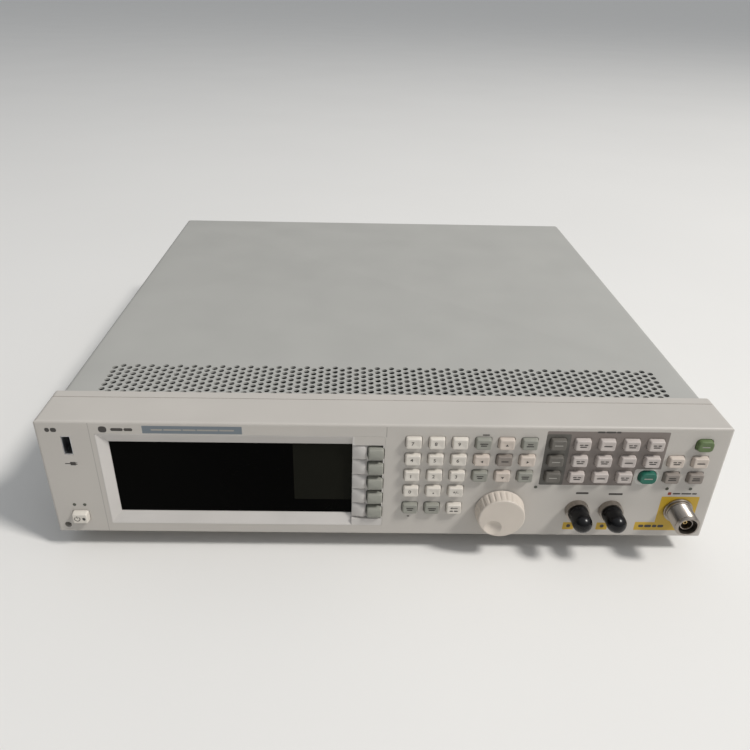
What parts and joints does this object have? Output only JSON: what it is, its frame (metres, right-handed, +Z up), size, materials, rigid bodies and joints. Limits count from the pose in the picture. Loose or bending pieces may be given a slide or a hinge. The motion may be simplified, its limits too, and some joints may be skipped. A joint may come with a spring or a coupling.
{
  "type": "signal generator",
  "caption": "Low, full-width bench signal generator: vented steel case, display with side keys, keypads, tuning knob, capped inputs and a threaded output socket.",
  "frame": {"origin": "bottom centre of the bounding box, on the plane that the feet stand on", "axes": "+X to the right as the user faces the panel, +Y from the panel towards the rear, +Z up"},
  "size_m": [0.428, 0.451, 0.103],
  "materials": {
    "case_paint": "satin textured paint",
    "bezel_plastic": "fine moulded texture",
    "surround_plastic": "fine moulded texture",
    "display_glass": "polished",
    "lcd_metal": "dark satin",
    "circuit_board": "solder mask",
    "light_key": "soft matt",
    "grey_key": "soft matt",
    "dark_key": "soft matt",
    "green_key": "soft matt",
    "teal_key": "soft matt",
    "knob_plastic": "soft matt",
    "nickel": "worn nickel plate",
    "cap_rubber": "satin",
    "foot_rubber": "matt",
    "rear_plastic": "moulded texture",
    "zinc_steel": "zinc plated",
    "rear_plate": "brushed",
    "module_metal": "milled",
    "black_plastic": "moulded texture",
    "copper": "drawn",
    "led_lens": "clear"
  },
  "bodies": {
    "case": {"outer_cover": "case_paint", "front_bezel": "bezel_plastic", "display_frame": "surround_plastic", "display_window": "display_glass", "lcd_module": "lcd_metal", "keypad_board": "circuit_board", "chassis": "zinc_steel", "rear_panel": "rear_plate", "power_supply": "zinc_steel", "rf_module": "module_metal", "processor_board": "circuit_board", "fan_frame": "black_plastic", "power_inlet": "black_plastic", "rear_connectors": "nickel", "rf_output_connector": "nickel", "input_connectors": "nickel", "usb_socket": "zinc_steel", "rotary_encoder": "zinc_steel", "bottom_feet": "foot_rubber", "rear_feet": "rear_plastic", "screws": "zinc_steel", "indicator_leds": "led_lens", "rf_cable": "copper"},
    "key_0": {"key_0": "light_key"},
    "key_1": {"key_1": "light_key"},
    "key_2": {"key_2": "light_key"},
    "key_3": {"key_3": "light_key"},
    "key_4": {"key_4": "light_key"},
    "key_5": {"key_5": "light_key"},
    "key_6": {"key_6": "light_key"},
    "key_7": {"key_7": "light_key"},
    "key_8": {"key_8": "light_key"},
    "key_9": {"key_9": "light_key"},
    "key_point": {"key_point": "light_key"},
    "key_sign": {"key_sign": "light_key"},
    "key_up": {"key_up": "light_key"},
    "key_down": {"key_down": "light_key"},
    "key_left": {"key_left": "light_key"},
    "key_right": {"key_right": "light_key"},
    "function_keys": {"function_keys": "light_key"},
    "corner_keys": {"corner_keys": "grey_key"},
    "entry_keys": {"entry_keys": "grey_key"},
    "key_mod": {"key_mod": "grey_key"},
    "key_rf": {"key_rf": "grey_key"},
    "softkey_1": {"softkey_1": "grey_key"},
    "softkey_2": {"softkey_2": "grey_key"},
    "softkey_3": {"softkey_3": "grey_key"},
    "softkey_4": {"softkey_4": "grey_key"},
    "softkey_5": {"softkey_5": "grey_key"},
    "key_select": {"key_select": "dark_key"},
    "key_preset": {"key_preset": "green_key"},
    "key_trigger": {"key_trigger": "teal_key"},
    "power_switch": {"power_switch": "light_key"},
    "fan_rotor": {"fan_rotor": "black_plastic"},
    "tilt_stand_left": {"tilt_stand_left": "zinc_steel"},
    "tilt_stand_right": {"tilt_stand_right": "zinc_steel"},
    "i_input_cap": {"i_input_cap": "cap_rubber"},
    "q_input_cap": {"q_input_cap": "cap_rubber"},
    "knob": {"knob": "knob_plastic", "encoder_shaft": "zinc_steel"}
  },
  "joints": [
    {"name": "key_0_press", "type": "slide", "parent": "case", "child": "key_0", "axis": [0, 1, 0], "range_m": [0, 0.0015], "stiffness_N_per_m": 400, "springref_m": -0.0008},
    {"name": "key_1_press", "type": "slide", "parent": "case", "child": "key_1", "axis": [0, 1, 0], "range_m": [0, 0.0015], "stiffness_N_per_m": 400, "springref_m": -0.0008},
    {"name": "key_2_press", "type": "slide", "parent": "case", "child": "key_2", "axis": [0, 1, 0], "range_m": [0, 0.0015], "stiffness_N_per_m": 400, "springref_m": -0.0008},
    {"name": "key_3_press", "type": "slide", "parent": "case", "child": "key_3", "axis": [0, 1, 0], "range_m": [0, 0.0015], "stiffness_N_per_m": 400, "springref_m": -0.0008},
    {"name": "key_4_press", "type": "slide", "parent": "case", "child": "key_4", "axis": [0, 1, 0], "range_m": [0, 0.0015], "stiffness_N_per_m": 400, "springref_m": -0.0008},
    {"name": "key_5_press", "type": "slide", "parent": "case", "child": "key_5", "axis": [0, 1, 0], "range_m": [0, 0.0015], "stiffness_N_per_m": 400, "springref_m": -0.0008},
    {"name": "key_6_press", "type": "slide", "parent": "case", "child": "key_6", "axis": [0, 1, 0], "range_m": [0, 0.0015], "stiffness_N_per_m": 400, "springref_m": -0.0008},
    {"name": "key_7_press", "type": "slide", "parent": "case", "child": "key_7", "axis": [0, 1, 0], "range_m": [0, 0.0015], "stiffness_N_per_m": 400, "springref_m": -0.0008},
    {"name": "key_8_press", "type": "slide", "parent": "case", "child": "key_8", "axis": [0, 1, 0], "range_m": [0, 0.0015], "stiffness_N_per_m": 400, "springref_m": -0.0008},
    {"name": "key_9_press", "type": "slide", "parent": "case", "child": "key_9", "axis": [0, 1, 0], "range_m": [0, 0.0015], "stiffness_N_per_m": 400, "springref_m": -0.0008},
    {"name": "key_point_press", "type": "slide", "parent": "case", "child": "key_point", "axis": [0, 1, 0], "range_m": [0, 0.0015], "stiffness_N_per_m": 400, "springref_m": -0.0008},
    {"name": "key_sign_press", "type": "slide", "parent": "case", "child": "key_sign", "axis": [0, 1, 0], "range_m": [0, 0.0015], "stiffness_N_per_m": 400, "springref_m": -0.0008},
    {"name": "key_up_press", "type": "slide", "parent": "case", "child": "key_up", "axis": [0, 1, 0], "range_m": [0, 0.0015], "stiffness_N_per_m": 400, "springref_m": -0.0008},
    {"name": "key_down_press", "type": "slide", "parent": "case", "child": "key_down", "axis": [0, 1, 0], "range_m": [0, 0.0015], "stiffness_N_per_m": 400, "springref_m": -0.0008},
    {"name": "key_left_press", "type": "slide", "parent": "case", "child": "key_left", "axis": [0, 1, 0], "range_m": [0, 0.0015], "stiffness_N_per_m": 400, "springref_m": -0.0008},
    {"name": "key_right_press", "type": "slide", "parent": "case", "child": "key_right", "axis": [0, 1, 0], "range_m": [0, 0.0015], "stiffness_N_per_m": 400, "springref_m": -0.0008},
    {"name": "function_keys_press", "type": "slide", "parent": "case", "child": "function_keys", "axis": [0, 1, 0], "range_m": [0, 0.0015], "stiffness_N_per_m": 400, "springref_m": -0.0008},
    {"name": "corner_keys_press", "type": "slide", "parent": "case", "child": "corner_keys", "axis": [0, 1, 0], "range_m": [0, 0.0015], "stiffness_N_per_m": 400, "springref_m": -0.0008},
    {"name": "entry_keys_press", "type": "slide", "parent": "case", "child": "entry_keys", "axis": [0, 1, 0], "range_m": [0, 0.0015], "stiffness_N_per_m": 400, "springref_m": -0.0008},
    {"name": "key_mod_press", "type": "slide", "parent": "case", "child": "key_mod", "axis": [0, 1, 0], "range_m": [0, 0.0015], "stiffness_N_per_m": 400, "springref_m": -0.0008},
    {"name": "key_rf_press", "type": "slide", "parent": "case", "child": "key_rf", "axis": [0, 1, 0], "range_m": [0, 0.0015], "stiffness_N_per_m": 400, "springref_m": -0.0008},
    {"name": "softkey_1_press", "type": "slide", "parent": "case", "child": "softkey_1", "axis": [0, 1, 0], "range_m": [0, 0.0015], "stiffness_N_per_m": 400, "springref_m": -0.0008},
    {"name": "softkey_2_press", "type": "slide", "parent": "case", "child": "softkey_2", "axis": [0, 1, 0], "range_m": [0, 0.0015], "stiffness_N_per_m": 400, "springref_m": -0.0008},
    {"name": "softkey_3_press", "type": "slide", "parent": "case", "child": "softkey_3", "axis": [0, 1, 0], "range_m": [0, 0.0015], "stiffness_N_per_m": 400, "springref_m": -0.0008},
    {"name": "softkey_4_press", "type": "slide", "parent": "case", "child": "softkey_4", "axis": [0, 1, 0], "range_m": [0, 0.0015], "stiffness_N_per_m": 400, "springref_m": -0.0008},
    {"name": "softkey_5_press", "type": "slide", "parent": "case", "child": "softkey_5", "axis": [0, 1, 0], "range_m": [0, 0.0015], "stiffness_N_per_m": 400, "springref_m": -0.0008},
    {"name": "key_select_press", "type": "slide", "parent": "case", "child": "key_select", "axis": [0, 1, 0], "range_m": [0, 0.0015], "stiffness_N_per_m": 400, "springref_m": -0.0008},
    {"name": "key_preset_press", "type": "slide", "parent": "case", "child": "key_preset", "axis": [0, 1, 0], "range_m": [0, 0.0015], "stiffness_N_per_m": 400, "springref_m": -0.0008},
    {"name": "key_trigger_press", "type": "slide", "parent": "case", "child": "key_trigger", "axis": [0, 1, 0], "range_m": [0, 0.0015], "stiffness_N_per_m": 400, "springref_m": -0.0008},
    {"name": "power_switch_press", "type": "slide", "parent": "case", "child": "power_switch", "axis": [0, 1, 0], "range_m": [0, 0.0015], "stiffness_N_per_m": 400, "springref_m": -0.0008},
    {"name": "knob_turn", "type": "hinge", "parent": "case", "child": "knob", "pos_m": [0.0757, -0.2065, 0.0376], "axis": [0, -1, 0], "continuous": true},
    {"name": "fan_spin", "type": "hinge", "parent": "case", "child": "fan_rotor", "pos_m": [0.095, 0.1785, 0.0588], "axis": [0, 1, 0], "continuous": true},
    {"name": "tilt_stand_left_fold", "type": "hinge", "parent": "case", "child": "tilt_stand_left", "pos_m": [-0.165, -0.1445, 0.009], "axis": [-1, 0, 0], "range_deg": [0, 100]},
    {"name": "tilt_stand_right_fold", "type": "hinge", "parent": "case", "child": "tilt_stand_right", "pos_m": [0.165, -0.1445, 0.009], "axis": [-1, 0, 0], "range_deg": [0, 100]},
    {"name": "i_input_cap_pull", "type": "slide", "parent": "case", "child": "i_input_cap", "axis": [0, -1, 0], "range_m": [0, 0.03]},
    {"name": "q_input_cap_pull", "type": "slide", "parent": "case", "child": "q_input_cap", "axis": [0, -1, 0], "range_m": [0, 0.03]}
  ]
}
